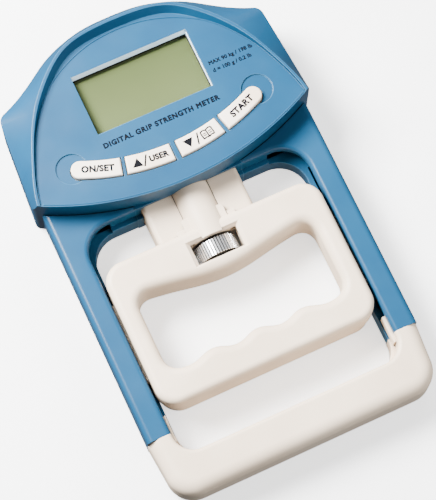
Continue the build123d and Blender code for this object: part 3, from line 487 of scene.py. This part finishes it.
# ------------------------------------------------------------------ display window and panel trim
def extruded(section, along, start, end):
    """Section swept from start to end: section is (across, height) pairs, along is "x" or "y"."""
    count = len(section)
    verts = []
    for place in (start, end):
        for across, height in section:
            verts.append((place, across, height) if along == "x" else (across, place, height))
    faces = [tuple(range(count)), tuple(reversed(range(count, 2 * count)))]
    for index in range(count):
        after = (index + 1) % count
        faces.append((after, index, index + count, after + count))
    return verts, faces


def closed_piece(name, parts, material):
    """Piece of the frame body made of closed solids, its faces turned outwards."""
    verts, faces = joined(parts)
    piece = add_mesh(name, verts, faces, material, "frame")
    work = bmesh.new()
    work.from_mesh(piece.data)
    bmesh.ops.recalc_face_normals(work, faces=work.faces)
    work.to_mesh(piece.data)
    work.free()


def painted_highlight_bevel():
    """Edge of the clear pane, coloured pale and set to glow faintly: a painted highlight."""
    material = moulded_plastic("bevel_painted_highlight", (0.72, 0.88, 0.97), (0.60, 0.80, 0.93), 0.20)
    shader = material.node_tree.nodes["Principled BSDF"]
    # emission: the glow of a painted highlight
    shader.inputs["Emission Color"].default_value = (0.62, 0.84, 1.0, 1)
    shader.inputs["Emission Strength"].default_value = 0.28
    return material


def window_edges():
    """Bevel of the window's upper and right-hand sides, coloured as a painted highlight, and a black strip
    below it that is a painted shadow.
    """
    low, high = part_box("display_window")
    surround = 1.5 * MM
    right, bottom, top = high.x - surround, low.y + surround, high.y - surround
    foot, knee = high.z + 0.03 * MM, high.z + 0.75 * MM
    bevel_top, bevel_right = 0.95 * MM, 0.14 * MM
    edge_z = panel_height(top) - 0.05 * MM
    top_bevel = [(top - 0.02 * MM, foot), (top - 0.02 * MM, edge_z), (top - bevel_top, knee),
                 (top - bevel_top, foot)]
    right_bevel = [(right - 0.02 * MM, foot), (right - 0.02 * MM, edge_z), (right - bevel_right, knee),
                   (right - bevel_right, foot)]
    closed_piece("window_bevel", [
        extruded(top_bevel, "x", 0.05 * MM - right, right - 0.05 * MM),
        extruded(right_bevel, "y", bottom + 0.05 * MM, top - bevel_top),
    ], painted_highlight_bevel())
    # black strip below the bevel: a painted shadow, not a real gasket
    band = [(top - bevel_top - 0.5 * MM, foot), (top - bevel_top - 0.5 * MM, foot + 0.35 * MM),
            (top - bevel_top, foot + 0.55 * MM), (top - bevel_top, foot)]
    side_band = [(right - bevel_right - 0.45 * MM, foot), (right - bevel_right - 0.45 * MM, foot + 0.3 * MM),
                 (right - bevel_right, foot + 0.5 * MM), (right - bevel_right, foot)]
    closed_piece("window_shadow_strip", [
        extruded(band, "x", 0.05 * MM - right, right - bevel_right),
        extruded(side_band, "y", bottom + 0.05 * MM, top - bevel_top - 0.5 * MM),
    ], MATERIALS["chip_black"])


def bead(name, points, radius, sink, order):
    """Fine raised bead of the housing's plastic along points (mm) on the display panel's face."""
    curve = bpy.data.curves.new(name, "CURVE")
    curve.dimensions = "3D"
    curve.bevel_depth = radius
    curve.bevel_resolution = 3
    curve.use_fill_caps = True
    line = curve.splines.new("NURBS")
    line.points.add(len(points) - 1)
    for point, (x, y) in zip(line.points, points):
        point.co = (*(on_panel(x, y) - Vector((0, 0, sink))), 1)
    line.order_u = order
    line.use_endpoint_u = True
    line.resolution_u = 10
    curve.materials.append(MATERIALS["housing_blue"])
    piece = bpy.data.objects.new(name, curve)
    bpy.context.scene.collection.objects.link(piece)
    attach(piece, "frame")


def panel_beads():
    """Bead at the foot of the rim's inner wall, and a finer one along the panel's lower edge."""
    right = [(56.45, 31.6), (54.5, 40.2), (51.4, 48.4), (47.9, 56.9), (43.2, 64.2), (36.9, 72.6),
             (28.8, 79.0), (15.0, 85.2), (0, 87.0)]
    bead("panel_bead", right + [(-x, y) for x, y in right[-2::-1]], 0.32 * MM, -0.02 * MM, 4)
    arc_r, foot_y, inset = 123.5, 17.0, 0.75
    radius = arc_r - inset
    turns = [asin(56.0 / arc_r) * step / 24 for step in range(-24, 25)]
    lower = [(radius * sin(turn), foot_y + arc_r - radius * cos(turn)) for turn in turns]
    bead("lower_bead", lower, 0.34 * MM, 0.10 * MM, 2)


# ------------------------------------------------------------------ adjusting rod
def adjusting_rod():
    """Rod with its rolled thread; stands for the plain CAD rod."""
    low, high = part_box("threaded_rod")
    axis_z = (low.z + high.z) / 2
    thread_r, journal_r, pitch, depth = 3.0 * MM, 2.0 * MM, 1.0 * MM, 0.36 * MM
    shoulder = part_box("adjusting_wheel")[0].y
    around, step = 40, 0.125 * MM
    sections = [(low.y, 0.0), (low.y, journal_r - 0.3 * MM), (low.y + 0.3 * MM, journal_r),
                (shoulder, journal_r), (shoulder, thread_r)]
    count = int((high.y - shoulder) / step)
    sections += [(shoulder + step * index, None) for index in range(1, count)]
    sections += [(high.y, thread_r - 0.7 * MM), (high.y, 0.0)]
    verts = []
    for y, radius in sections:
        for index in range(around):
            turn = 2 * pi * index / around
            if radius is None:
                wave = ((y / pitch) - index / around) % 1.0
                fade = min(1.0, (high.y - y) / (0.8 * MM))
                r = (thread_r - depth * abs(2 * wave - 1)) * (1 - 0.2 * (1 - fade))
            else:
                r = radius
            verts.append((r * cos(turn), y, axis_z + r * sin(turn)))
    faces = []
    for ring in range(len(sections) - 1):
        for index in range(around):
            after = (index + 1) % around
            faces.append((ring * around + index, (ring + 1) * around + index,
                          (ring + 1) * around + after, ring * around + after))
    piece = add_mesh("adjusting_rod", verts, faces, MATERIALS["screw_steel"], "wheel")
    weld = bmesh.new()
    weld.from_mesh(piece.data)
    bmesh.ops.remove_doubles(weld, verts=weld.verts, dist=0.00001 * MM)
    bmesh.ops.recalc_face_normals(weld, faces=weld.faces)
    weld.to_mesh(piece.data)
    weld.free()
    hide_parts("threaded_rod")


legends()
window_edges()
panel_beads()
adjusting_rod()


# ------------------------------------------------------------------ stage, lights and camera
def floor():
    """Pale light-table floor a hair below the instrument; it neither lights nor mirrors in it."""
    half = 3.0
    material, nodes, links, shader = new_material("floor_paper")
    paper = object_noise(nodes, links, 40, 3)
    links.new(ramp(nodes, links, paper, [(0.3, (0.88, 0.88, 0.88)), (0.7, (0.91, 0.91, 0.91))]),
              shader.inputs["Base Color"])
    shader.inputs["Roughness"].default_value = 0.9
    shader.inputs["Emission Color"].default_value = (1, 1, 1, 1)
    shader.inputs["Emission Strength"].default_value = 1.4
    level = -0.1 * MM
    corners = [(-half, -half, level), (half, -half, level), (half, half, level), (-half, half, level)]
    sheet = add_mesh("floor", corners, [(0, 1, 2, 3)], material, None)
    sheet.visible_diffuse = False
    sheet.visible_glossy = False


def area_light(name, place, target, size, power):
    """Square softbox aimed at a target."""
    light = bpy.data.lights.new(name, "AREA")
    light.shape = "SQUARE"
    light.size = size
    light.energy = power
    lamp = bpy.data.objects.new(name, light)
    lamp.location = place
    lamp.rotation_euler = (Vector(target) - Vector(place)).to_track_quat("-Z", "Y").to_euler()
    bpy.context.scene.collection.objects.link(lamp)


def lights():
    """Big softbox from the upper left, a weaker fill and a pale surround."""
    area_light("key_softbox", (-0.30, 0.36, 0.52), (0, 0.03, 0), 0.34, 38)
    area_light("edge_softbox", (0.45, 0.60, 0.35), (0, 0.03, 0), 0.25, 3)
    area_light("fill_softbox", (0.42, -0.30, 0.40), (0, 0.05, 0), 0.40, 4)
    world = bpy.data.worlds.new("surround")
    world.use_nodes = True
    world.node_tree.nodes["Background"].inputs["Color"].default_value = (0.95, 0.97, 1.0, 1)
    world.node_tree.nodes["Background"].inputs["Strength"].default_value = 0.25
    bpy.context.scene.world = world


def camera():
    """Camera above the palm grip's left corner, looking down over the instrument."""
    data = bpy.data.cameras.new("camera")
    data.sensor_width = 36.0
    data.lens = 147.7
    data.clip_start = 0.05
    view = bpy.data.objects.new("camera", data)
    view.location = (-101.9 * MM, -210.7 * MM, 783.6 * MM)
    view.rotation_euler = Euler((radians(16.32), radians(-0.565), radians(-24.95)))
    bpy.context.scene.collection.objects.link(view)
    bpy.context.scene.camera = view


floor()
lights()
camera()
